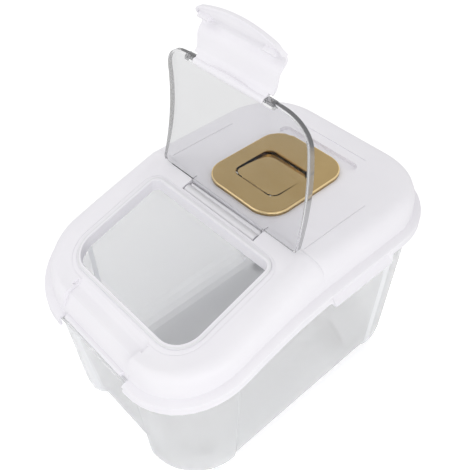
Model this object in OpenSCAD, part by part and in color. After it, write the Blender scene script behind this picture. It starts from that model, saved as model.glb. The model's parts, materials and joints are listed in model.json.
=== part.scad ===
/* [Lid rim] */
// Overall width of the lid rim, left to right
rim_w = 266; // [246:2:290]
// Overall length of the lid rim, front to rear
rim_l = 373; // [340:1:410]
// Corner radius of the rim outline
rim_r = 78; // [66:1:84]
// Height of the rim's lower edge along the level rear half
lip_z = 204; // [190:1:230]
// Slope of the front half of the lid, in degrees
slope = 17; // [12:0.5:19]
// Radius of the bend where the level rim turns into the slope
bend_r = 350; // [250:10:450]
// Width of the flat ledge that runs round the rim
ledge_w = 8.5; // [6:0.5:11]
// Height from the rim's lower edge to the ledge
lip_h = 12; // [10:0.5:16]
// Wall thickness of the two lid mouldings
lid_t = 2.4; // [2:0.2:3.2]

/* [Lid top] */
// Height of the flat platform above the ground
top_z = 248; // [240:1:262]
// Front to rear place of the seam between the two lid mouldings
seam_y = -4; // [-6:0.5:0]
// Width of the rounded shoulder along the sides
shoulder_w = 27; // [22:1:30]
// Width of the rounded shoulder at the front
shoulder_front = 13; // [10:1:18]
// Width of the rounded shoulder at the rear
shoulder_rear = 35; // [28:1:40]

/* [Opening] */
// Width of the pouring opening
open_w = 168; // [150:2:172]
// Front edge of the opening
open_front = -144.2; // [-148:0.2:-130]
// Rear edge of the opening
open_rear = -33.4; // [-46:0.2:-33]
// Corner radius at the front of the opening
open_r = 26; // [16:1:30]
// Corner radius at the rear of the opening
open_rear_r = 8; // [5:1:14]
// Depth of the neck wall below the sloping top
neck_h = 11; // [8:0.5:14]
// How far the neck stands above the sloping top
neck_up = 1.6; // [1:0.2:2]

/* [Bin] */
// Draft of the bin walls from rim to base, per side
bin_draft = 9.7; // [6:0.1:14]
// Radius between the walls and the base
base_r = 33; // [24:1:38]
// Wall thickness of the bin
bin_t = 2.2; // [1.8:0.1:3]
// Depth of the recess in the front wall at the base
front_recess = 9; // [4:0.5:12]
// Depth of the recess in each side wall
side_recess = 2.5; // [1:0.5:4]
// Diameter of each foot pad
pad_d = 18; // [14:1:24]
// Thickness of the foot pads below the base
pad_t = 1.2; // [0.8:0.2:2]

/* [Flip panel] */
// Width of the clear panel at its hinge end
panel_w = 191; // [188:1:192]
// Width of the clear panel at its latch end
panel_end_w = 180; // [180:1:186]
// Length of the clear panel from its hinge axis
panel_l = 148.5; // [146:0.5:151]
// Thickness of the clear panel
panel_t = 2.5; // [2:0.1:3]
// Radius of the panel's bow from hinge to latch
panel_bow = 225; // [215:5:300]
// Corner radius at the free end of the panel
panel_r = 29; // [20:1:32]
// Corner radius at the hinge end of the panel
panel_foot_r = 7; // [4:0.5:9]
// Bow of the panel's free end, seen from above
panel_sag = 7; // [4:0.5:9]
// Depth of the panel's side skirts
skirt_h = 6.7; // [6:0.1:7.5]
// Angle that the panel opens from closed to its stop
open_angle = 110; // [100:1:110]
// Diameter of the hinge rod
rod_d = 3; // [2.5:0.1:3.4]
// Diameter of the pins of the latch and the rocking pad
pin_d = 2; // [1.6:0.1:2.4]

/* [Latch] */
// Width of the latch flap
latch_w = 100; // [90:1:102]
// Thickness of the latch flap
latch_t = 2.4; // [2:0.1:2.8]
// Angle between the open latch and its locked place
latch_turn = 46; // [44:0.5:47]

/* [Desiccant box] */
// Width of the gold cover plate
plate_w = 100; // [94:1:104]
// Length of the gold cover plate
plate_l = 115.6; // [110:0.2:118]
// Corner radius of the gold cover plate
plate_r = 26; // [20:1:30]
// Height that the gold cover stands above the platform
plate_h = 4.2; // [3.8:0.1:5]
// Width of the rocking pad in the cover
rocker_w = 56; // [48:1:60]
// Length of the rocking pad in the cover
rocker_l = 53; // [46:1:56]
// Slope of the rocking pad at rest, in degrees
rocker_tilt = 4; // [3:0.5:5]
// Depth of the desiccant cup below the platform
cup_depth = 30; // [24:1:36]

/* [Hidden] */
$fn = 48;

// Half sizes and corner centres of the rim outline
half_w = rim_w / 2;
half_l = rim_l / 2;
corner_x = half_w - rim_r;
corner_y = half_l - rim_r;
corner_steps = 12;
corner_angles = [for (i = [0:corner_steps]) 90 * i / corner_steps];

// Level where the sloping top meets the platform
brow_y = seam_y - 5.7;
// Place where the rim starts to bend down
bend_y = 10;
bend_run = bend_r * sin(slope);
bend_drop = bend_r * (1 - cos(slope));

// Wall line of the bin, counted inwards from the rim outline
wall_in = ledge_w + 0.1;
// Top face of the bin's rim above the lid's lower edge
rim_top = lip_h - 4.8;
rim_t = 2.2;
// Flexible ring between the bin's rim and the lid's ledge
gasket_t = 2;
gasket_rest = 0.15;
seat_gap = 0.3;
ledge_under = rim_top + gasket_rest + gasket_t + seat_gap;

// A station is a place on the rim outline: point, outward direction,
// side recess weight, end recess weight
function on_corner(sx, sy, a) = [
    sx * (corner_x + rim_r * cos(a)), sy * (corner_y + rim_r * sin(a)),
    sx * cos(a), sy * sin(a), 0, 0];
function on_side(sx, y, g = 0) = [sx * half_w, y, sx, 0, g, 0];
function on_end(x, sy, g = 0) = [x, sy * half_l, 0, sy, 0, g];
function inset(s, d) = [s[0] - d * s[2], s[1] - d * s[3]];
function turn(list) = [for (i = [len(list) - 1:-1:0]) list[i]];
function smooth(x) = let (t = min(1, max(0, x))) t * t * (3 - 2 * t);

// Lower edge of the rim: level, then a bend, then a straight slope
function lip(y) =
    y >= bend_y ? lip_z
    : y >= bend_y - bend_run ? lip_z - bend_r + sqrt(bend_r * bend_r - (bend_y - y) * (bend_y - y))
    : lip_z - bend_drop - (bend_y - bend_run - y) * tan(slope);
// Top of the lid: level, then sloping down to the front
function top(y) = min(top_z, top_z + (y - brow_y) * tan(slope));
function shoulder(s) =
    shoulder_w + (s[3] < 0 ? shoulder_front - shoulder_w : shoulder_rear - shoulder_w) * s[3] * s[3];

// Side grips in the rear cover: the rim hollows in and flares out below
grip_start = seam_y + 3;
grip_end = 91;
grip_drop = 7;
grip_flare = 3;
function grip(s) =
    abs(s[2]) < 0.99 ? 0
    : smooth((s[1] - grip_start) / 5) * smooth((grip_end - s[1]) / 5);

// Section of a lid moulding at one station, as two chains of the same
// length: the outside from the top edge down over the shoulder, ledge and
// lip, and the inside that backs it, joined at the foot of the lip
shoulder_steps = 8;
shoulder_power = 0.56;
function lid_section(s) =
    let (
        b = lip(s[1]),
        g = grip(s),
        w = shoulder(s),
        d_top = ledge_w + 0.8 + w,
        z_top = top(inset(s, d_top)[1]),
        z_out = b + lip_h + 3.5,
        z_in = b + lip_h + 1.5,
        arc = [for (i = [0:shoulder_steps]) 90 * (1 - i / shoulder_steps)],
        outer = concat(
            [for (t = arc) [
                d_top - w * pow(cos(t), shoulder_power),
                z_out + (z_top - z_out) * pow(sin(t), shoulder_power)]],
            [[ledge_w, b + lip_h + 1.2], [2, b + lip_h], [0.4, b + lip_h - 0.8], [0, b + lip_h - 3],
             [0.8 + 2.2 * g, b + 7.5 - g], [0.8 + 2.4 * g, b + 6 - 5 * g],
             [-0.6 * g, b + 4.6 - 8 * g], [-grip_flare * g, b + 1.2 - grip_drop * g],
             [1 - grip_flare * g, b - grip_drop * g]]),
        inner = concat(
            [for (t = arc) [
                d_top - (w - lid_t) * pow(cos(t), shoulder_power),
                z_in + (z_top - lid_t - z_in) * pow(sin(t), shoulder_power)]],
            [[ledge_w + 1.1, b + ledge_under], [2.8 + 2.4 * g, b + ledge_under],
             [2.8 + 2.4 * g, b + 8.6], [2.8 + 2.4 * g, b + 7.4],
             [2.8 + 2.4 * g, b + 6.2 - g], [2.8 + 2.4 * g, b + 5 - 4 * g],
             [2.8 + 2.3 * g, b + 3.8 - 4.6 * g], [2.8 - 0.6 * g, b + 1.2 - 5.2 * g],
             [2.4 - grip_flare * g, b - grip_drop * g]])
    )
    [for (p = concat(outer, turn(inner))) let (q = inset(s, p[0])) [q[0], q[1], p[1]]];

function quad(a, b, c, d) = [[a, b, c], [a, c, d]];
// Triangles from a middle point to a closed loop of points
function fan(loop, hub) = [for (i = [0:len(loop) - 1]) [loop[i], loop[(i + 1) % len(loop)], hub]];

// Lid moulding as one closed shell: sections along its stations, a top
// face outside and inside, and the flat face at the seam. Where the top
// changes slope, breaks counts the stations that lie past the change
module lid_shell(stations, breaks, hub_y) {
    sections = [for (s = stations) lid_section(s)];
    n = len(sections);
    m = len(sections[0]);
    last = n - 1;
    hub = n * m;
    end = last * m;
    skin = [for (k = [0:n - 2]) for (j = [0:m - 2])
        each quad(k * m + j, (k + 1) * m + j, (k + 1) * m + j + 1, k * m + j + 1)];
    cap_out = fan([for (k = [last - breaks:-1:breaks]) k * m], hub);
    cap_in = fan([for (k = [breaks:last - breaks]) k * m + m - 1], hub + 1);
    strips = [for (k = [0:1:breaks - 1]) each concat(
        quad((last - k) * m, (last - k - 1) * m, (k + 1) * m, k * m),
        quad(k * m + m - 1, (k + 1) * m + m - 1, (last - k) * m - 1, (last - k) * m + m - 1))];
    bands = [for (j = [0:m / 2 - 2]) each concat(
        quad(j, j + 1, m - 2 - j, m - 1 - j),
        quad(end + m - 1 - j, end + m - 2 - j, end + j + 1, end + j))];
    polyhedron(
        points = concat([for (c = sections) each c],
            [[0, hub_y, top(hub_y)], [0, hub_y, top(hub_y) - lid_t]]),
        faces = concat(skin, cap_out, cap_in, strips, bands, quad(0, m - 1, end + m - 1, end)),
        convexity = 10);
}

// Closed ring: sections along stations that run right round the bin
module ring_shell(sections) {
    n = len(sections);
    m = len(sections[0]);
    polyhedron(
        points = [for (c = sections) each c],
        faces = [for (k = [0:n - 1]) for (j = [0:m - 1])
            let (a = k * m + j, b = ((k + 1) % n) * m + j,
                 c = k * m + (j + 1) % m, d = ((k + 1) % n) * m + (j + 1) % m)
            each quad(a, c, d, b)],
        convexity = 10);
}

// Stations of the whole bin, counterclockwise seen from above
panel_edge = 4.5;
side_stops = [-corner_y + panel_edge, -86, -66, -46, -26, -6, 12, corner_y - panel_edge];
end_stops = [corner_x - 1, corner_x - 4, corner_x - 8, corner_x - 12];
end_weights = [0, 0.2, 0.8, 1];
function side_run(sx, up) =
    let (ys = up ? side_stops : turn(side_stops)) [for (y = ys) on_side(sx, y, 1)];
function end_run(sy) =
    let (
        right = [for (i = [0:3]) on_end(end_stops[i], sy, end_weights[i])],
        left = [for (i = [3:-1:0]) on_end(-end_stops[i], sy, end_weights[i])])
    sy > 0 ? concat(right, left) : concat(turn(left), turn(right));
bin_stations = concat(
    side_run(1, true),
    [for (a = corner_angles) on_corner(1, 1, a)],
    end_run(1),
    [for (a = turn(corner_angles)) on_corner(-1, 1, a)],
    side_run(-1, false),
    [for (a = corner_angles) on_corner(-1, -1, a)],
    end_run(-1),
    [for (a = turn(corner_angles)) on_corner(1, -1, a)]);

// Stations of the two lid mouldings, from seam to seam
grip_fade = 5;
rear_side = concat(
    [seam_y], [for (k = [0.3, 0.66, 1]) grip_start + k * grip_fade],
    [20, 45, 70], [for (k = [1, 0.66, 0.3, 0]) grip_end - k * grip_fade]);
rear_stations = concat(
    [for (y = rear_side) on_side(1, y)],
    [for (a = corner_angles) on_corner(1, 1, a)],
    [for (a = turn(corner_angles)) on_corner(-1, 1, a)],
    [for (y = turn(rear_side)) on_side(-1, y)]);
front_side = [seam_y, brow_y, -24, -44, -64, -86];
front_stations = concat(
    [for (y = front_side) on_side(-1, y)],
    [for (a = corner_angles) on_corner(-1, -1, a)],
    [for (a = turn(corner_angles)) on_corner(1, -1, a)],
    [for (y = turn(front_side)) on_side(1, y)]);

// Flat shapes: a rectangle with round corners, centred
module rounded(w, l, r) {
    square([w - 2 * r, l], center = true);
    square([w, l - 2 * r], center = true);
    for (sx = [-1, 1], sy = [-1, 1])
        translate([sx * (w / 2 - r), sy * (l / 2 - r)]) circle(r = r);
}
module upright(y, z, h) translate([0, y, z]) linear_extrude(h) children();
module block(x, y, z) translate([x[0], y[0], z[0]]) cube([x[1] - x[0], y[1] - y[0], z[1] - z[0]]);
module mirrored() {
    children();
    mirror([1, 0, 0]) children();
}
// Bar along X from -half to half
module bar(half, r) rotate([0, 90, 0]) cylinder(h = 2 * half, r = r, center = true);
// Side profile given as [y, z] points, stretched along X
module profile(half, points)
    rotate([90, 0, 90]) translate([0, 0, -half]) linear_extrude(2 * half) polygon(points);

/* Bin */
function bin_wall(s, f) =
    wall_in + bin_draft * (1 - f) + side_recess * s[4] * smooth((1 - f) * 12)
    + front_recess * s[5] * pow(1 - f, 0.8) * (s[3] < 0 ? 1 : rear_recess_share);
rear_recess_share = 0.4;
base_steps = 6;
wall_steps = [0.45, 0.7, 0.9, 0.97];
flange_in = 3.6;
flange_dip = 2.4;
function bin_section(s) =
    let (
        rim_z = lip(s[1]) + rim_top,
        under = rim_z - rim_t,
        tall = under - pad_t,
        flange = flange_in + flange_dip * s[4],
        r_in = base_r - bin_t,
        turns = [for (i = [0:base_steps]) 90 * i / base_steps],
        round_out = [for (a = turns) let (h = base_r * (1 - cos(a)))
            [bin_wall(s, h / tall) + base_r * (1 - sin(a)), pad_t + h]],
        wall_out = [for (f = wall_steps) [bin_wall(s, f), pad_t + f * tall]],
        rim = [[wall_in, under], [flange, under], [flange, rim_z - 0.4], [flange + 0.4, rim_z],
            [wall_in + bin_t, rim_z]],
        wall_back = [for (f = turn(wall_steps)) [bin_wall(s, f) + bin_t, pad_t + f * tall]],
        round_back = [for (a = turn(turns)) let (h = bin_t + r_in * (1 - cos(a)))
            [bin_wall(s, h / tall) + bin_t + r_in * (1 - sin(a)), pad_t + h]]
    )
    [for (p = concat(round_out, wall_out, rim, wall_back, round_back))
        let (q = inset(s, p[0])) [q[0], q[1], p[1]]];

module bin_shell() {
    sections = [for (s = bin_stations) bin_section(s)];
    n = len(sections);
    m = len(sections[0]);
    skin = [for (k = [0:n - 1]) for (j = [0:m - 2])
        let (a = k * m + j, b = ((k + 1) % n) * m + j) each quad(a, a + 1, b + 1, b)];
    base = fan([for (k = [0:n - 1]) k * m], n * m);
    floor = fan([for (k = [n - 1:-1:0]) k * m + m - 1], n * m + 1);
    polyhedron(
        points = concat([for (c = sections) each c], [[0, 0, pad_t], [0, 0, pad_t + bin_t]]),
        faces = concat(skin, base, floor),
        convexity = 10);
}

pad_x = 78;
pad_y = 115;
pad_sink = 0.6;
module at_pads() {
    for (sx = [-1, 1], sy = [-1, 1])
        translate([sx * pad_x, sy * pad_y, 0]) children();
}
module bin_body() {
    color([0.86, 0.88, 0.9, 0.6]) difference() {
        bin_shell();
        at_pads() translate([0, 0, pad_t - 1]) cylinder(d = pad_d + 0.4, h = 1 + pad_sink);
    }
}
module foot_pads() {
    color([0.8, 0.82, 0.84]) at_pads() cylinder(d = pad_d, h = pad_t + pad_sink);
}

gasket_in = 6.4;
gasket_out = 9.2;
function gasket_section(s) =
    let (z = lip(s[1]) + rim_top + gasket_rest, outer = inset(s, gasket_in), inner = inset(s, gasket_out))
    [[outer[0], outer[1], z], [outer[0], outer[1], z + gasket_t],
     [inner[0], inner[1], z + gasket_t], [inner[0], inner[1], z]];
module rim_gasket() {
    color([0.93, 0.94, 0.95]) ring_shell([for (s = bin_stations) gasket_section(s)]);
}

/* Hinge line and the frame of the sloping top: local Y runs up the slope */
hinge_y = seam_y - 15.2;
hinge_z = top_z - 8;
deck_n = (top(hinge_y) - hinge_z) * cos(slope);
module on_slope() translate([0, hinge_y, hinge_z]) rotate([slope, 0, 0]) children();
// Side profile in slope coordinates: [distance down the slope, height]
module slope_profile(half, points) profile(half, [for (p = points) [-p[0], p[1]]]);
// Panel as it stands when open
module opened() on_slope() rotate([-open_angle, 0, 0]) children();
// Latch axis in the panel's own coordinates
latch_s = panel_l - 4.5;
latch_n = 6.2;
module at_latch() translate([0, -latch_s, latch_n]) children();
// Latch axis when the panel is closed
latch_y = hinge_y - latch_s * cos(slope) - latch_n * sin(slope);
latch_z = hinge_z - latch_s * sin(slope) + latch_n * cos(slope);

/* Opening in the front frame, with its neck */
open_y = (open_front + open_rear) / 2;
open_l = open_rear - open_front;
neck_wall = 2;
// Cuts through the lid start this far below the rim and are this tall
through_low = lip_z - 60;
through_h = 120;
module mouth(w, l, front_r, rear_r) {
    rounded(w, l, front_r);
    translate([0, l / 4]) rounded(w, l / 2, rear_r);
}
module opening(grow) upright(open_y, through_low, through_h)
    mouth(open_w + 2 * grow, open_l + 2 * grow, open_r + grow, open_rear_r + grow);
module slope_slab(low, high)
    on_slope() block([-rim_w, rim_w], [-rim_l, rim_l], [deck_n + low, deck_n + high]);

/* Hinge slot across the frame's rear edge, closed below by a trough */
slot_half = 52;
barrel_r = 5;
slot_front = hinge_y - barrel_r - 0.6;
slot_rear = hinge_y + 7.8;
trough_t = 2;
trough_z = hinge_z - barrel_r - 1;
lug_t = 8;
boss_r = 4;
running = 0.08;
rod_half = slot_half + lug_t;
module trough() {
    difference() {
        block([-slot_half - trough_t, slot_half + trough_t], [slot_front - trough_t, slot_rear + trough_t],
            [trough_z - trough_t, top_z - lid_t - 0.4]);
        block([-slot_half, slot_half], [slot_front, slot_rear], [trough_z, top_z + 1]);
        slope_slab(-lid_t / 2, 40);
    }
    mirrored() difference() {
        translate([slot_half + lug_t / 2, hinge_y, hinge_z]) bar(lug_t / 2, boss_r);
        slope_slab(-lid_t / 2, 40);
    }
}
tongue_front = slot_rear + 0.4;
tongue_edge = 1.5;
module slot_cut() {
    block([-slot_half, slot_half], [slot_front, slot_rear], [trough_z, top_z + 1]);
    block([-slot_half - 0.3, slot_half + 0.3], [slot_rear - 1, seam_y + 1],
        [top_z - lid_t - 0.4, top_z + 1]);
}

/* Latch seat at the front: valley for the bar, hollow under the flap, catch */
latch_zone = latch_w / 2 + 2;
bar_r = 3.4;
bar_clear = 0.8;
knuckle_w = 10;
bar_half = latch_w / 2 - 6.4;
knuckle_in = bar_half + 0.4;
knuckle_out = knuckle_in + knuckle_w;
flap_gap = 0.8;
catch_y = -half_l + 5.9;
catch_z = lip(-half_l) + 16.2;
catch_r = 2;
catch_half = latch_w / 2 - 5;
face_y = -half_l + ledge_w;
// Wave of the flap's outer face in latch coordinates: [distance out,
// height], drawn for a reach of 35.3 from the latch axis to the catch
wave_reach = 35.3;
catch_reach = norm([latch_y - catch_y, latch_z - catch_z]);
wave_scale = catch_reach / wave_reach;
wave = [[4.8, 4.3], [8.4, 7.3], [13, 8.5], [18, 9], [22, 9.4], [26.1, 11.9], [29.4, 14.8], [33, 15.9],
    [38.5, 13.6], [43.5, 9.2], [48.5, 8], [55, 8.6]] * wave_scale;
// Smooth line through a list of points, and a line beside it
function between(p, i, t) =
    let (n = len(p) - 1, a = p[max(0, i - 1)], b = p[i], c = p[min(n, i + 1)], d = p[min(n, i + 2)])
    b + t / 2 * (c - a) + t * t * (a - 2.5 * b + 2 * c - d / 2) + t * t * t / 2 * (3 * b - 3 * c + d - a);
function smoothed(p, k) = concat(
    [for (i = [0:len(p) - 2]) for (j = [0:k - 1]) between(p, i, j / k)], [p[len(p) - 1]]);
function beside(p, d) = [for (i = [0:len(p) - 1])
    let (v = p[min(len(p) - 1, i + 1)] - p[max(0, i - 1)]) p[i] + d / norm(v) * [v[1], -v[0]]];
wave_line = smoothed(wave, 4);
// Latch coordinates of the closed flap as [y, z] of the model
function closed(p) = let (a = slope + latch_turn)
    [latch_y - p[0] * cos(a) - p[1] * sin(a), latch_z - p[0] * sin(a) + p[1] * cos(a)];
// Seat line in the lid: round the bar, then under the closed flap
valley_r = bar_r + bar_clear;
valley = [for (p = [[-1.76, 0.2], [-1.3, -0.3], [-0.8, -0.95], [0, -1.36], [0.86, -1.43]])
    [latch_y, latch_z] + valley_r * [-p[0], p[1]]];
seat_from = 6;
seat_to = 15;
seat = concat(valley,
    [for (p = [for (i = [seat_from:3:seat_to]) beside(wave_line, latch_t + flap_gap)[i]]) closed(p)]);
seat_foot = [face_y, catch_z + catch_r + 1];
seat_line = concat(seat, [seat_foot]);
end_plate = 4;
module latch_backing() {
    upper = beside(seat_line, 0.6);
    lower = beside(seat_line, -lid_t);
    shoulder_line = [for (i = [0:shoulder_steps]) let (p = lid_section(on_end(0, -1))[i]) [p[1], p[2]]];
    profile(latch_zone - 0.05, concat([for (i = [1:len(upper) - 2]) upper[i]], [seat_foot], turn(lower)));
    mirrored() translate([latch_zone + end_plate / 2 - 0.1, 0, 0]) profile(end_plate / 2 + 0.1, concat(
        [[latch_y + 9, top(latch_y + 9) - lid_t], [latch_y + 9, top(latch_y + 9) - 0.5]],
        beside(shoulder_line, -0.4),
        [[face_y + 0.4, catch_z - 2], [face_y + lid_t, catch_z - 2]],
        turn(lower)));
    translate([0, catch_y, catch_z]) bar(catch_half, catch_r);
    block([-catch_half, catch_half], [catch_y, face_y + 1.2], [catch_z - catch_r, catch_z + catch_r]);
    block([-latch_zone, latch_zone], [face_y + 0.4, face_y + lid_t], [catch_z - catch_r, seat_foot[1]]);
}
module latch_cut() {
    profile(latch_zone, concat(seat, [seat_foot, [-half_l - 1, seat_foot[1]], [-half_l - 1, top_z],
        [seat[0][0], top_z]]));
    translate([0, latch_y, latch_z]) bar(knuckle_out + 1.2, valley_r);
}
// The ledge and lip stop short beside the latch
module lip_cut() block([-latch_zone, latch_zone], [-half_l - 1, face_y],
    [lip(-half_l) - lip_h, lip(-half_l) + lip_h + 1.5]);

/* Fine grooves in the frame's top */
groove_w = 0.7;
groove_t = 0.4;
groove_near = 4.5;
groove_far = 9;
module groove(w, front, rear, grow) intersection() {
    upright((front + rear) / 2, through_low, through_h) difference() {
        mouth(w, rear - front, open_r + grow, open_rear_r + grow);
        mouth(w - 2 * groove_w, rear - front - 2 * groove_w,
            open_r + grow - groove_w, open_rear_r + grow - groove_w);
    }
    slope_slab(-groove_t, 1);
}
module front_frame() {
    color([0.96, 0.95, 0.98]) difference() {
        union() {
            difference() {
                lid_shell(front_stations, 1, open_y);
                lip_cut();
            }
            intersection() {
                opening(neck_wall);
                slope_slab(-neck_h, neck_up);
            }
            trough();
            latch_backing();
        }
        opening(0);
        slot_cut();
        latch_cut();
        translate([0, hinge_y, hinge_z]) bar(rod_half + 1, rod_d / 2);
        for (g = [groove_near, groove_far])
            groove(open_w + 2 * g, open_front - g, min(open_rear + g, slot_front - 1.5), g);
    }
}

seal_w = 1.5;
seal_h = 1.7;
seal_gap = 0.05;
module panel_seal() {
    color([0.9, 0.9, 0.92]) intersection() {
        difference() {
            opening(neck_wall + seal_gap + seal_w);
            opening(neck_wall + seal_gap);
        }
        slope_slab(seal_gap, seal_h);
    }
}

/* Rear cover: platform with a cup hole, finger recess and tongue */
plate_y = seam_y + 3.6 + plate_l / 2;
plate_rear = plate_y + plate_l / 2;
plate_wall = 1.6;
cup_w = plate_w - 12;
cup_l = plate_l - 12;
cup_r = plate_r - 6;
cup_wall = 1.6;
finger_l = 13;
finger_t = 4;
finger_r = 7;
finger_w = plate_w + 4;
module finger_shape(grow)
    upright(plate_rear + finger_l / 2 - 1, top_z - finger_t - lid_t, finger_t + lid_t + 2)
    rounded(finger_w + 2 * grow, finger_l + 2 + 2 * grow, finger_r + grow);
// Fine creases beside and behind the platform's middle
crease_w = 1.2;
crease_t = 0.7;
crease_x = half_w - ledge_w - shoulder_w - 2.4;
crease_y = half_l - ledge_w - shoulder_rear - 2.4;
crease_start = seam_y + 3;
crease_end = crease_y - 56;
module creases() {
    mirrored() block([crease_x - crease_w, crease_x], [crease_start, crease_end],
        [top_z - crease_t, top_z + 1]);
    block([2 - finger_w / 2, finger_w / 2 - 2], [crease_y - crease_w, crease_y],
        [top_z - crease_t, top_z + 1]);
}
module rear_cover() {
    color([0.97, 0.96, 0.98]) difference() {
        union() {
            lid_shell(rear_stations, 0, plate_y);
            intersection() {
                finger_shape(lid_t);
                block([-half_w, half_w], [0, half_l], [top_z - finger_t - lid_t, top_z - 0.2]);
            }
            profile(slot_half - 1, [[tongue_front, top_z - lid_t], [tongue_front, top_z - tongue_edge],
                [tongue_front + tongue_edge, top_z], [seam_y + 2, top_z], [seam_y + 2, top_z - lid_t]]);
        }
        upright(plate_y, through_low, through_h) rounded(cup_w + 0.4, cup_l + 0.4, cup_r + 0.2);
        intersection() {
            finger_shape(0);
            block([-half_w, half_w], [plate_rear - 1.2, half_l], [top_z - finger_t, top_z + 1]);
        }
        creases();
    }
}

/* Desiccant box */
flange_t = 1.2;
ring_t = 1;
stack_gap = 0.1;
cover_top = top_z + plate_h;
cover_under = top_z + flange_t + ring_t + 2 * stack_gap;
well_w = rocker_w + 4;
well_l = rocker_l + 3;
well_t = 1.4;
well_wall = 1.6;
// Distance of the rocking pad's middle behind the seam
rocker_back = 56;
rocker_y = seam_y + rocker_back;
rocker_t = 1.6;
rocker_press = 4;
well_z = cover_top - rocker_t - (rocker_l + 2) * sin(rocker_tilt + rocker_press) - 0.8;
rocker_axis_y = rocker_y - rocker_l / 2 + 1.4;
rocker_axis_z = cover_top - 2.1;
pin_r = pin_d / 2;
pin_half = well_w / 2 + well_wall - 0.2;
slot_n = 7;
module desiccant_cup() {
    color([0.95, 0.95, 0.96]) difference() {
        union() {
            upright(plate_y, top_z - cup_depth, cup_depth) rounded(cup_w, cup_l, cup_r);
            upright(plate_y, top_z, flange_t) rounded(cup_w + 6, cup_l + 6, cup_r + 3);
        }
        upright(plate_y, top_z - cup_depth + cup_wall, cup_depth + 2)
            rounded(cup_w - 2 * cup_wall, cup_l - 2 * cup_wall, cup_r - cup_wall);
        for (i = [0:slot_n - 1])
            translate([0, plate_y + (i - (slot_n - 1) / 2) * cup_l / (slot_n + 2), top_z - cup_depth - 1])
                linear_extrude(cup_wall + 2) rounded(cup_w * 0.66, 3, 1.4);
    }
}
module cover_gasket() {
    color([0.85, 0.86, 0.88]) upright(plate_y, top_z + flange_t + stack_gap, ring_t) difference() {
        rounded(cup_w + 4, cup_l + 4, cup_r + 2);
        rounded(cup_w - 1, cup_l - 1, cup_r - 0.5);
    }
}
// Clearance between the sachet and the cup's wall, all round
sachet_gap = 6.6;
sachet_w = cup_w - 2 * cup_wall - 2 * sachet_gap;
sachet_l = cup_l - 2 * cup_wall - 2 * sachet_gap;
sachet_h = (cup_depth - cup_wall) / 2;
module desiccant_sachet() {
    color([0.93, 0.93, 0.9]) upright(plate_y, top_z - cup_depth + cup_wall + 0.2, sachet_h)
        rounded(sachet_w, sachet_l, sachet_w / 9);
}
module desiccant_cover() {
    color([0.72, 0.62, 0.42]) difference() {
        union() {
            difference() {
                upright(plate_y, top_z + 0.15, plate_h - 0.15) rounded(plate_w, plate_l, plate_r);
                upright(plate_y, top_z - 1, cover_under - top_z + 1)
                    rounded(plate_w - 2 * plate_wall, plate_l - 2 * plate_wall, plate_r - plate_wall);
            }
            upright(rocker_y, well_z - well_t, cover_top - well_z + well_t)
                rounded(well_w + 2 * well_wall, well_l + 2 * well_wall, rocker_r + well_wall);
        }
        upright(rocker_y, well_z, 30) rounded(well_w, well_l, rocker_r);
        translate([0, rocker_axis_y, rocker_axis_z]) bar(pin_half, pin_r);
    }
}
rocker_r = 10;
module at_rocker() translate([0, rocker_axis_y, rocker_axis_z]) rotate([-rocker_tilt, 0, 0]) children();
module rocker_pad() {
    color([0.72, 0.62, 0.42]) at_rocker() difference() {
        union() {
            translate([0, rocker_l / 2 - 1.4, cover_top - rocker_axis_z - rocker_t])
                linear_extrude(rocker_t) rounded(rocker_w, rocker_l, rocker_r - 1);
            bar(rocker_w / 2 - rocker_r - 2, pin_r + 0.9);
            block([-rocker_w / 2 + rocker_r + 2, rocker_w / 2 - rocker_r - 2], [-0.9, 0.9],
                [0, cover_top - rocker_axis_z - rocker_t + 0.2]);
        }
        bar(rocker_w, pin_r + running);
    }
}
module rocker_pin() {
    color([0.75, 0.75, 0.77]) translate([0, rocker_axis_y, rocker_axis_z]) bar(pin_half, pin_r);
}

/* Flip panel and its rod */
panel_start = 9;
panel_top = 20.8;
bow_s = (panel_start + panel_l) / 2 + 2.5;
skirt_bow = panel_bow * 4 / 3;
skirt_t = 2.2;
web_half = slot_half - 2;
panel_fn = 360;
notch_s = latch_s - bar_r - 0.8;
// Radius of an arc from its half chord and its bow
function bow_r(half, sag) = (half * half + sag * sag) / (2 * sag);
function arc(c, r, from, to, steps) = [for (i = [0:steps])
    let (a = from + (to - from) * i / steps) c + r * [cos(a), sin(a)]];
// Outline of a plate from its middle line round one side to the middle of
// its bowed far edge: [half width, distance] of the foot corner's centre
// and radius, half width at the end, length, bow and corner radius, inset
function plate_side(foot, foot_r, half, l, sag, r, in) =
    let (
        big = bow_r(half, sag),
        hub = [0, l - big],
        x = half - r,
        end = hub + [x, sqrt((big - r) * (big - r) - x * x)],
        taper = atan((foot[0] + foot_r - half) / (end[1] - foot[1])),
        meet = atan2(end[1] - hub[1], end[0]))
    concat(
        arc(foot, foot_r - in, -90, taper, 8),
        arc(end, r - in, taper, meet, 14),
        [for (i = [1:11]) let (a = meet + (90 - meet) * i / 12) hub + (big - in) * [cos(a), sin(a)]]);
module plate(side, l) linear_extrude(panel_l, center = true)
    polygon([for (p = concat(side, [[0, l]], turn([for (q = side) [-q[0], q[1]]]))) [p[0], -p[1]]]);
module panel_outline(in) plate(
    plate_side([panel_w / 2 - panel_foot_r, panel_start + panel_foot_r], panel_foot_r,
        panel_end_w / 2, panel_l, panel_sag, panel_r, in),
    panel_l - in);
module panel_arc(r, top) translate([0, -bow_s, top - r]) bar(panel_w, r, $fn = panel_fn);
module knuckles() mirrored() {
    translate([(knuckle_in + knuckle_out) / 2, -latch_s, latch_n]) bar(knuckle_w / 2, bar_r);
    block([knuckle_in, knuckle_out], [-latch_s - bar_r, -latch_s + bar_r], [latch_n, latch_n + 4]);
}
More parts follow.
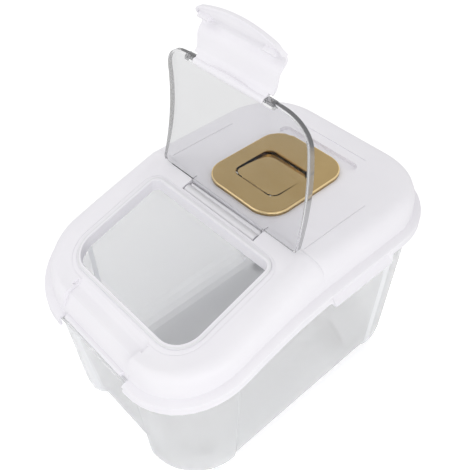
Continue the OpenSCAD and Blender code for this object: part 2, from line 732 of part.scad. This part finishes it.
web = [[-4, 0], [-3.4, 3.5], [0, 5.6], [3.5, 7.1], [6.8, 7.2], [8.3, 8.2], [9.3, 8.8], [12.5, 9.1],
    [12.5, 8.1], [8.8, 6.6], [6.6, 5.9], [5, 5.6], [4, 5.3], [3, 4], [4, 0]];
hinge_end_n = 7.2;
module flip_panel() {
    color([0.6, 0.6, 0.62, 0.45]) opened() difference() {
        union() {
            difference() {
                intersection() {
                    panel_outline(0);
                    panel_arc(panel_bow, panel_top);
                }
                intersection() {
                    panel_outline(skirt_t);
                    panel_arc(panel_bow - panel_t, panel_top - panel_t);
                }
                panel_arc(skirt_bow, panel_top - skirt_h);
                block([-panel_w, panel_w], [-panel_l - 5, 0], [-40, hinge_end_n - 1.2]);
                block([-panel_w / 2 + skirt_t, panel_w / 2 - skirt_t], [-panel_start - 10, 0],
                    [0, hinge_end_n]);
            }
            intersection() {
                knuckles();
                panel_arc(panel_bow - 0.6, panel_top - 0.6);
            }
            bar(web_half, barrel_r);
            slope_profile(web_half, web);
        }
        block([-knuckle_in, knuckle_in], [-panel_l - 2, -notch_s], [-5, 30]);
        bar(panel_w, rod_d / 2 + running);
        at_latch() bar(knuckle_out - 1, pin_r);
    }
}
module hinge_rod() {
    color([0.75, 0.75, 0.77]) translate([0, hinge_y, hinge_z]) bar(rod_half, rod_d / 2);
}

// Latch flap in its own coordinates: axis at the origin, reaching to -Y
flap_reach = 54;
flap_l = flap_reach * wave_scale;
flap_sag = 7.5;
flap_round = 9;
flap_foot_r = 3;
flap_rim = 1.2;
flap_rim_w = 2;
crescent_top = 5;
crescent_sag = 4.5;
crescent_n = [-1.4, 0.8];
hook_x = 39;
hook_w = 13;
module flap_outline(in) plate(
    plate_side([latch_w / 2 - 2 - flap_foot_r, wave[0][0] - 1 + flap_foot_r], flap_foot_r,
    latch_w / 2, flap_l, flap_sag, flap_round, in), flap_l - in);
module wave_band(high, low) slope_profile(latch_w,
    concat(beside(wave_line, -high), turn(beside(wave_line, low))));
// A hook grows from the middle of the flap's wall and ends under the catch
hook_root = beside(wave_line, latch_t / 2);
hook_tip = [[-3.2, -2.6], [0.7, -3.9], [0.7, -6.2], [-3, -7]];
hook = concat([closed(hook_root[29])], [for (p = hook_tip) [catch_y, catch_z] + p],
    [for (i = [36:-2:30]) closed(hook_root[i])]);
module hooks() mirrored() rotate([-slope - latch_turn, 0, 0]) translate([hook_x, -latch_y, -latch_z])
    profile(hook_w / 2, hook);
module latch_solid() {
    root_top = beside(wave_line, 0.3)[3];
    root_low = beside(wave_line, latch_t - 0.3)[3];
    difference() {
        union() {
            intersection() {
                flap_outline(0);
                wave_band(0, latch_t);
            }
            intersection() {
                difference() {
                    flap_outline(0);
                    flap_outline(flap_rim_w);
                }
                wave_band(flap_rim, latch_t + flap_rim);
                block([-latch_w, latch_w], [-flap_l - 2, -flap_l * 0.7], [-20, 30]);
            }
            bar(bar_half, bar_r);
            slope_profile(bar_half, [[-1, 0], [0.5, bar_r - 0.2], root_top, root_low, [2.7, 0]]);
            intersection() {
                big = bow_r(bar_half, crescent_sag);
                block([-bar_half, bar_half], [-crescent_top - 1, 1], crescent_n);
                translate([0, big - crescent_top])
                    cylinder(h = latch_w, r = big, center = true, $fn = panel_fn);
            }
            hooks();
        }
        bar(latch_w, pin_r + running);
    }
}
module latch_flap() {
    color([0.96, 0.95, 0.98]) opened() at_latch() latch_solid();
}
module latch_pin() {
    color([0.75, 0.75, 0.77]) opened() at_latch() bar(knuckle_out - 1, pin_r);
}

scoop_d = 48;
scoop_h = 45;
scoop_t = 1.4;
// Place of the measuring cup, counted inwards from the rim outline
scoop_from_side = 59;
scoop_from_rear = 80.5;
scoop_x = half_w - scoop_from_side;
scoop_y = half_l - scoop_from_rear;
module measuring_cup() {
    color([0.95, 0.95, 0.95]) translate([scoop_x, scoop_y + scoop_h / 2, pad_t + bin_t + scoop_d / 2 + 0.3])
        rotate([90, 0, 0]) difference() {
            cylinder(d = scoop_d, h = scoop_h, $fn = 96);
            translate([0, 0, scoop_t]) cylinder(d = scoop_d - 2 * scoop_t, h = scoop_h, $fn = 96);
        }
}

bin_body();
foot_pads();
rim_gasket();
measuring_cup();
front_frame();
panel_seal();
rear_cover();
hinge_rod();
flip_panel();
latch_pin();
latch_flap();
desiccant_cup();
desiccant_sachet();
cover_gasket();
desiccant_cover();
rocker_pin();
rocker_pad();
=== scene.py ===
"""Rice bin with a flip lid: finishes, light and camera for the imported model. Metres, +Z up."""

import json
import math

import bmesh
import bpy
from mathutils import Matrix, Vector

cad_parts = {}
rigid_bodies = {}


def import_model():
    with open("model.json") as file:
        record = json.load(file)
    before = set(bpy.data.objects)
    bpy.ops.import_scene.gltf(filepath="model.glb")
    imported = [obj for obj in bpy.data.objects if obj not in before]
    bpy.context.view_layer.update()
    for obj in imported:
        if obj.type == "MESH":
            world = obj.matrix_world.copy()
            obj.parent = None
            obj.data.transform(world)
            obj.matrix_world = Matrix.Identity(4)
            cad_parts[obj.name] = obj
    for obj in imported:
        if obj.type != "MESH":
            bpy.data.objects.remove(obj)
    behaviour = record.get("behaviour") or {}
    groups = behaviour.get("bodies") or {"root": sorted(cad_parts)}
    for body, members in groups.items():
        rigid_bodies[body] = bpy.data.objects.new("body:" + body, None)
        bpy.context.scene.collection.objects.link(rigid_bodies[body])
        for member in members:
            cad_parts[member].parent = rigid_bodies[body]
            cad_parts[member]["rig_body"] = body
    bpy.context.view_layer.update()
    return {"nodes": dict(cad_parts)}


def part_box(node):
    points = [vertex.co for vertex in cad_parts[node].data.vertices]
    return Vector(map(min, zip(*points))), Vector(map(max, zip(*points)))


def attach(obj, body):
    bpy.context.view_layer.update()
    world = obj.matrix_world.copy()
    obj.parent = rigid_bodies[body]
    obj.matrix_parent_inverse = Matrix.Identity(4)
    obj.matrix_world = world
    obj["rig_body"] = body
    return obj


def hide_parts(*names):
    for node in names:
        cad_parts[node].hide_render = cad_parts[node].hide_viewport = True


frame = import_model()

MM = 0.001

# ---------------------------------------------------------------- materials

# Blender's noise lies mostly between these two values.
NOISE_LOW, NOISE_HIGH = 0.3, 0.7

PLASTIC_IOR = 1.46
PANEL_IOR = 1.2
GLOW_DEPTH = 8 * MM  # how far light spreads inside the bin's plastic

BIN_SKIN = {"skin": 14 * MM, "skin_depth": 0.02 * MM, "cloud": 90 * MM}
GOLD_SKIN = {"skin": 9 * MM, "skin_depth": 0.002 * MM}


def grain(tree, size):
    """Noise in the object's own place, with features about as large as size."""
    place = tree.nodes.new("ShaderNodeTexCoord")
    noise = tree.nodes.new("ShaderNodeTexNoise")
    noise.inputs["Scale"].default_value = 1 / size
    noise.inputs["Detail"].default_value = 3.0
    tree.links.new(place.outputs["Object"], noise.inputs["Vector"])
    return noise.outputs["Fac"]


def ranged(tree, value, given, wanted):
    """A value brought from the range that is given to the range that is wanted."""
    node = tree.nodes.new("ShaderNodeMapRange")
    node.inputs["From Min"].default_value, node.inputs["From Max"].default_value = given
    node.inputs["To Min"].default_value, node.inputs["To Max"].default_value = wanted
    tree.links.new(value, node.inputs["Value"])
    return node.outputs["Result"]


def blended(tree, value, first, second):
    """A colour between first and second, by a noise value."""
    node = tree.nodes.new("ShaderNodeMix")
    node.data_type = "RGBA"
    node.inputs["A"].default_value = (*first, 1)
    node.inputs["B"].default_value = (*second, 1)
    share = ranged(tree, value, (NOISE_LOW, NOISE_HIGH), (0, 1))
    tree.links.new(share, node.inputs["Factor"])
    return node.outputs["Result"]


def raised(tree, value, depth):
    """A bump of the given depth."""
    node = tree.nodes.new("ShaderNodeBump")
    node.inputs["Distance"].default_value = depth
    node.inputs["Strength"].default_value = 1.0
    tree.links.new(value, node.inputs["Height"])
    return node.outputs["Normal"]


def surface(name, colour, shade, rough, skin=0.8 * MM, skin_depth=0.015 * MM, cloud=45 * MM, sockets=None):
    """The surface of a moulding: a faint cloud from colour to shade, uneven gloss and a fine skin.

    The sockets are further values of the shader, each the same all over the surface."""
    material = bpy.data.materials.new(name)
    material.use_nodes = True
    tree = material.node_tree
    base = tree.nodes["Principled BSDF"]
    gloss = ranged(tree, grain(tree, cloud / 3), (NOISE_LOW, NOISE_HIGH), rough)
    tree.links.new(blended(tree, grain(tree, cloud), colour, shade), base.inputs["Base Color"])
    tree.links.new(gloss, base.inputs["Roughness"])
    tree.links.new(raised(tree, grain(tree, skin), skin_depth), base.inputs["Normal"])
    for socket, value in (sockets or {}).items():
        base.inputs[socket].default_value = value
    return material


def lid_plastic():
    return surface(
        "lid_plastic", (0.87, 0.856, 0.89), (0.85, 0.835, 0.875), (0.32, 0.4),
        skin=1.5 * MM, skin_depth=0.006 * MM,
        sockets={"IOR": PLASTIC_IOR, "Specular IOR Level": 0.35},
    )


def bin_plastic():
    """The bin's cloudy plastic, which lets light through and spreads it."""
    return surface(
        "bin_plastic", (0.925, 0.94, 0.985), (0.905, 0.92, 0.965), (0.28, 0.34), **BIN_SKIN,
        sockets={
            "Alpha": 0.45,
            "IOR": PLASTIC_IOR,
            "Subsurface Weight": 1.0,
            "Subsurface Radius": (1, 1, 1),
            "Subsurface Scale": GLOW_DEPTH,
        },
    )


def bin_fold_painted_highlight():
    """The bin's plastic where the walls step in: more opaque, as the plastic is thicker there, and painted
    lighter, a painted highlight for the light that gathers in it.
    """
    return surface(
        "bin_fold_painted_highlight", (0.96, 0.97, 0.99), (0.95, 0.96, 0.98), (0.2, 0.26), **BIN_SKIN,
        sockets={"Alpha": 0.62},
    )


def pad_plastic():
    return surface(
        "pad_plastic", (0.96, 0.965, 0.975), (0.93, 0.935, 0.945), (0.45, 0.6),
        sockets={"Alpha": 0.85},
    )


def scoop_plastic():
    return surface(
        "scoop_plastic", (0.97, 0.965, 0.95), (0.95, 0.945, 0.93), (0.25, 0.35),
        sockets={"Alpha": 0.9},
    )


def seal_silicone():
    return surface(
        "seal_silicone", (0.80, 0.80, 0.82), (0.77, 0.77, 0.79), (0.5, 0.6),
        skin_depth=0.006 * MM,
    )


def clear_plastic():
    """The panel's clear plastic, which hardly bends what lies behind it."""
    return surface(
        "clear_plastic", (0.88, 0.882, 0.89), (0.86, 0.862, 0.87), (0.01, 0.03),
        skin=30 * MM, skin_depth=0.005 * MM,
        sockets={"Transmission Weight": 1.0, "IOR": PANEL_IOR},
    )


def frosted_plastic():
    """The clear panel's plastic where it is thick and matt, round the hinge rod."""
    return surface(
        "frosted_plastic", (0.86, 0.85, 0.88), (0.83, 0.82, 0.85), (0.3, 0.4),
        sockets={"Alpha": 0.88},
    )


def cut_edge_painted_shade():
    """The clear panel's plastic at its outer edge faces, painted a see-through dark grey: painted shade
    for the darkness seen through the panel's edge.
    """
    return surface(
        "cut_edge_painted_shade", (0.3, 0.3, 0.31), (0.25, 0.25, 0.26), (0.1, 0.2),
        sockets={"Alpha": 0.58},
    )


def gold_plating():
    return surface(
        "gold_plating", (0.42, 0.305, 0.145), (0.37, 0.265, 0.12), (0.06, 0.1), **GOLD_SKIN,
        sockets={"Metallic": 1.0},
    )


def gold_edge_painted_highlight():
    """The plating round the cover's rounded edge, painted brighter: a painted highlight along the edge."""
    return surface(
        "gold_edge_painted_highlight", (0.80, 0.62, 0.34), (0.74, 0.56, 0.29), (0.15, 0.2), **GOLD_SKIN,
        sockets={"Metallic": 1.0},
    )


def rod_steel():
    return surface(
        "rod_steel", (0.62, 0.62, 0.63), (0.55, 0.55, 0.56), (0.2, 0.35),
        sockets={"Metallic": 1.0},
    )


def cup_plastic():
    return surface("cup_plastic", (0.82, 0.815, 0.84), (0.79, 0.785, 0.81), (0.35, 0.45))


def sachet_paper():
    return surface(
        "sachet_paper", (0.80, 0.80, 0.76), (0.72, 0.72, 0.68), (0.8, 0.95),
        skin=0.5 * MM, skin_depth=0.06 * MM,
    )


# ------------------------------------------------------------------- pieces

WELD = 0.002 * MM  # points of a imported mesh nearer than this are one
FLAT = math.radians(0.5)  # faces that turn by less than this are joined before their edges are rounded
SHARP = math.radians(45)  # only edges that turn by more than this are rounded

COVER_ROUND = 1.3 * MM
PAD_ROUND = 0.5 * MM
SEAM_ROUND = 0.8 * MM

PLATE_TOP = 0.02 * MM  # the gold plate's top edge lies within this of its highest point
PLATE_OUTER = 0.75  # and beyond this share of the plate's half width or half length

SEAM_REACH = 0.05 * MM  # the seam's points lie within this of it
SEAM_DROP = 22 * MM  # the seam is rounded from the platform down to here
SEAM_INNER_X = 75 * MM  # and only on either side of the hinge

HINGE_AXIS = sum(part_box("hinge_rod"), Vector()) / 2
BARREL_REACH = 8 * MM  # the panel's barrel lies within this of the hinge axis
BARREL_HALF = 60 * MM  # and within this of the panel's middle
PANEL_LEAN = math.radians(3)  # how far the open panel leans from upright

BIN_FLAT_X = 54.5 * MM  # the flat front and rear walls end here, steps included
BIN_FLAT_Y = 108.3 * MM  # and the flat side walls here
BIN_CREASE = 14.0

# Shares of a face's normal along a direction: 0 is square to it, and 1 is straight along it.
LOOKS_UP = 0.9
RISES = 0.1
HANGS = -0.2
MAINLY = 0.5
OUTWARD = 0.6
THROUGH = 0.4
STEPPED = 0.06


def soften(work, chosen, width):
    """Rounds the chosen edges of a merged mesh, and gives the rounded faces."""
    bmesh.ops.dissolve_limit(work, angle_limit=FLAT, verts=work.verts, edges=work.edges)
    edges = [edge for edge in work.edges if len(edge.link_faces) == 2 and chosen(edge)]
    made = bmesh.ops.bevel(
        work, geom=edges, offset=width, affect="EDGES", segments=4, profile=0.5, material=-1
    )
    return made["faces"]


def dress(node, material, crease=35.0, chosen=None, width=0.0, rim=None, parts=()):
    """Shows a CAD node as one merged mesh, smooth but for its edges sharper than crease degrees.

    The chosen edges are rounded by width, and take the rim material if there is one. Each of the
    parts is a material and the test that picks its faces."""
    source = frame["nodes"][node]
    body = source["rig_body"]
    mesh = source.data.copy()
    mesh.name = node + "_finished"
    work = bmesh.new()
    work.from_mesh(mesh)
    bmesh.ops.remove_doubles(work, verts=work.verts, dist=WELD)
    for face in work.faces:
        face.material_index = 0
    finishes = [material]
    rounded = soften(work, chosen, width) if chosen else []
    if rim:
        finishes.append(rim)
        for face in rounded:
            face.material_index = 1
    for other, picked in parts:
        finishes.append(other)
        for face in work.faces:
            if picked(face):
                face.material_index = len(finishes) - 1
    mesh.materials.clear()
    for each in finishes:
        mesh.materials.append(each)
    work.to_mesh(mesh)
    work.free()
    if "custom_normal" in mesh.attributes:
        mesh.attributes.remove(mesh.attributes["custom_normal"])
    mesh.shade_smooth()
    mesh.set_sharp_from_angle(angle=math.radians(crease))
    piece = bpy.data.objects.new(node + "_finished", mesh)
    bpy.context.scene.collection.objects.link(piece)
    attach(piece, body)
    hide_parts(node)
    return piece


def plate_rim():
    """Chooses the top edge round the gold cover's plate."""
    low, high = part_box("desiccant_cover")
    middle = (low.y + high.y) / 2

    def at_the_rim(vertex):
        across = abs(vertex.co.x) / high.x
        along = abs(vertex.co.y - middle) / (high.y - middle)
        return vertex.co.z > high.z - PLATE_TOP and max(across, along) > PLATE_OUTER

    def chosen(edge):
        return all(at_the_rim(vertex) for vertex in edge.verts) and edge.calc_face_angle() > SHARP

    return chosen


def pad_rim(edge):
    """Chooses the top edge round the rocking pad."""
    rising = [face.normal.z for face in edge.link_faces]
    return edge.calc_face_angle() > SHARP and min(rising) > HANGS and max(rising) > LOOKS_UP


def seam_rim():
    """Chooses a lid moulding's outer edge where the two meet, over the platform and the shoulders."""
    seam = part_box("front_frame")[1].y
    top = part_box("rear_cover")[1].z

    def on_the_seam(vertex):
        outside = abs(vertex.co.x) > SEAM_INNER_X
        return outside and abs(vertex.co.y - seam) < SEAM_REACH and vertex.co.z > top - SEAM_DROP

    def chosen(edge):
        upper = any(face.normal.z > RISES and abs(face.normal.y) < MAINLY for face in edge.link_faces)
        return upper and all(on_the_seam(vertex) for vertex in edge.verts)

    return chosen


def round_the_hinge(face):
    """Picks the panel's faces at its barrel."""
    place = face.calc_center_median() - HINGE_AXIS
    return math.hypot(place.y, place.z) < BARREL_REACH and abs(place.x) < BARREL_HALF


def on_the_edge(face):
    """Picks the panel's outer edge faces, at its sides and its free end."""
    through = Vector((0, math.cos(PANEL_LEAN), -math.sin(PANEL_LEAN)))
    outward = face.normal.x * math.copysign(1, face.calc_center_median().x)
    outer = outward > OUTWARD or face.normal.z > MAINLY
    return outer and abs(face.normal.dot(through)) < THROUGH and not round_the_hinge(face)


def wall_step(face):
    """Picks the bin's faces where its flat walls step in beside the corner columns."""
    across, along = abs(face.normal.x), abs(face.normal.y)
    place = face.calc_center_median()
    side = across > MAINLY and along > STEPPED and abs(place.y) < BIN_FLAT_Y
    end = along > MAINLY and across > STEPPED and abs(place.x) < BIN_FLAT_X
    return side or end


def dress_the_bin(silicone):
    # the steps in the walls take a painted highlight: a lighter, more opaque plastic
    painted_fold_highlights = ((bin_fold_painted_highlight(), wall_step),)
    dress("bin_body", bin_plastic(), crease=BIN_CREASE, parts=painted_fold_highlights)
    dress("foot_pads", pad_plastic())
    dress("rim_gasket", silicone)
    dress("measuring_cup", scoop_plastic())


def dress_the_lid(white, silicone):
    dress("front_frame", white, chosen=seam_rim(), width=SEAM_ROUND)
    dress("panel_seal", silicone)
    dress("rear_cover", white, chosen=seam_rim(), width=SEAM_ROUND)
    dress("hinge_rod", white)


def dress_the_panel(white, steel):
    # the panel's edge faces take painted shade, a see-through dark grey; the plastic round the hinge is
    # frosted
    thick_and_shaded_parts = ((frosted_plastic(), round_the_hinge), (cut_edge_painted_shade(), on_the_edge))
    dress("flip_panel", clear_plastic(), parts=thick_and_shaded_parts)
    dress("latch_pin", steel)
    dress("latch_flap", white)


def dress_the_desiccant_box(silicone, steel):
    gold = gold_plating()
    dress("desiccant_cup", cup_plastic())
    dress("desiccant_sachet", sachet_paper())
    dress("cover_gasket", silicone)
    # the cover's rounded top edge takes a painted highlight, a brighter gold
    dress("desiccant_cover", gold, chosen=plate_rim(), width=COVER_ROUND, rim=gold_edge_painted_highlight())
    dress("rocker_pin", steel)
    dress("rocker_pad", gold, chosen=pad_rim, width=PAD_ROUND)


def dress_all():
    white = lid_plastic()
    silicone = seal_silicone()
    steel = rod_steel()
    dress_the_bin(silicone)
    dress_the_lid(white, silicone)
    dress_the_panel(white, steel)
    dress_the_desiccant_box(silicone, steel)


# ---------------------------------------------------------- floor and light

FLOOR_SIZE = 6.0
FLOOR_COLOUR = (0.9, 0.9, 0.9)
FLOOR_GLOW = 0.34  # what the camera sees of it
FLOOR_GLOW_SENT_ON = 0.1  # what metal and clear plastic send on of it
WORLD_LEVEL = 0.8

LIGHT_AIM = (0, 0, 0.15)
KEY_PLACE, KEY_SIZE, KEY_POWER = (-0.9, -1.3, 1.7), 1.4, 6.5
FILL_PLACE, FILL_SIZE, FILL_POWER = (1.6, -0.8, 0.6), 1.6, 10


def worked_out(tree, operation, first, second):
    """A Math node's result for a node's output and a second output or number."""
    node = tree.nodes.new("ShaderNodeMath")
    node.operation = operation
    tree.links.new(first, node.inputs[0])
    if isinstance(second, bpy.types.NodeSocket):
        tree.links.new(second, node.inputs[1])
    else:
        node.inputs[1].default_value = second
    return node.outputs[0]


def seen_ways(tree, own, sent_on):
    """The level own for the camera's rays, and sent_on for those that metal and clear plastic send on."""
    path = tree.nodes.new("ShaderNodeLightPath")
    straight = worked_out(tree, "MULTIPLY", path.outputs["Is Camera Ray"], own)
    mirrored = worked_out(tree, "MULTIPLY", path.outputs["Is Glossy Ray"], sent_on)
    through = worked_out(tree, "MULTIPLY", path.outputs["Is Transmission Ray"], sent_on)
    return worked_out(tree, "MAXIMUM", worked_out(tree, "MAXIMUM", straight, mirrored), through)


def floor_finish():
    """A pale matt floor, which glows a little in itself so that it shows white."""
    material = bpy.data.materials.new("floor")
    material.use_nodes = True
    tree = material.node_tree
    tree.nodes.clear()
    matt = tree.nodes.new("ShaderNodeBsdfDiffuse")
    matt.inputs["Color"].default_value = (*FLOOR_COLOUR, 1)
    glow = tree.nodes.new("ShaderNodeEmission")
    tree.links.new(seen_ways(tree, FLOOR_GLOW, FLOOR_GLOW_SENT_ON), glow.inputs["Strength"])
    both = tree.nodes.new("ShaderNodeAddShader")
    out = tree.nodes.new("ShaderNodeOutputMaterial")
    tree.links.new(matt.outputs[0], both.inputs[0])
    tree.links.new(glow.outputs[0], both.inputs[1])
    tree.links.new(both.outputs[0], out.inputs["Surface"])
    return material


def floor():
    mesh = bpy.data.meshes.new("floor")
    work = bmesh.new()
    bmesh.ops.create_grid(work, x_segments=1, y_segments=1, size=FLOOR_SIZE)
    work.to_mesh(mesh)
    work.free()
    mesh.materials.append(floor_finish())
    sheet = bpy.data.objects.new("floor", mesh)
    bpy.context.scene.collection.objects.link(sheet)


def world():
    """A white studio, a little dimmer in the light that it gives than as it is seen."""
    sky = bpy.data.worlds.new("studio")
    bpy.context.scene.world = sky
    sky.use_nodes = True
    tree = sky.node_tree
    back = tree.nodes["Background"]
    back.inputs["Color"].default_value = (1, 1, 1, 1)
    level = ranged(tree, seen_ways(tree, 1, 1), (0, 1), (WORLD_LEVEL, 1.0))
    tree.links.new(level, back.inputs["Strength"])


def softbox(name, place, size, power):
    lamp = bpy.data.lights.new(name, "AREA")
    lamp.shape = "SQUARE"
    lamp.size = size
    lamp.energy = power
    box = bpy.data.objects.new(name, lamp)
    box.location = place
    aim = Vector(LIGHT_AIM) - Vector(place)
    box.rotation_euler = aim.to_track_quat("-Z", "Y").to_euler()
    bpy.context.scene.collection.objects.link(box)


# ------------------------------------------------------------------- camera

CAMERA_AIM = Vector((-50.04, 45.43, 130.0)) * MM
CAMERA_REACH = 786.07 * MM
CAMERA_AZIMUTH = math.radians(47.65)
CAMERA_HEIGHT = math.radians(44.75)
CAMERA_ROLL = math.radians(0.53)
CAMERA_LENS = 50.93
CAMERA_SENSOR = 36.0
CAMERA_FAR = 50


def camera():
    level = math.cos(CAMERA_HEIGHT)
    back = Vector((
        math.sin(CAMERA_AZIMUTH) * level,
        -math.cos(CAMERA_AZIMUTH) * level,
        math.sin(CAMERA_HEIGHT),
    ))
    data = bpy.data.cameras.new("camera")
    data.lens = CAMERA_LENS
    data.sensor_width = CAMERA_SENSOR
    data.clip_end = CAMERA_FAR
    eye = bpy.data.objects.new("camera", data)
    place = Matrix.Translation(CAMERA_AIM + back * CAMERA_REACH)
    turn = (-back).to_track_quat("-Z", "Y").to_matrix().to_4x4()
    eye.matrix_world = place @ turn @ Matrix.Rotation(-CAMERA_ROLL, 4, "Z")
    bpy.context.scene.collection.objects.link(eye)
    bpy.context.scene.camera = eye


# -------------------------------------------------------------------- scene

dress_all()
floor()
world()
softbox("key", KEY_PLACE, KEY_SIZE, KEY_POWER)
softbox("fill", FILL_PLACE, FILL_SIZE, FILL_POWER)
camera()
bpy.context.scene.view_settings.view_transform = "Standard"
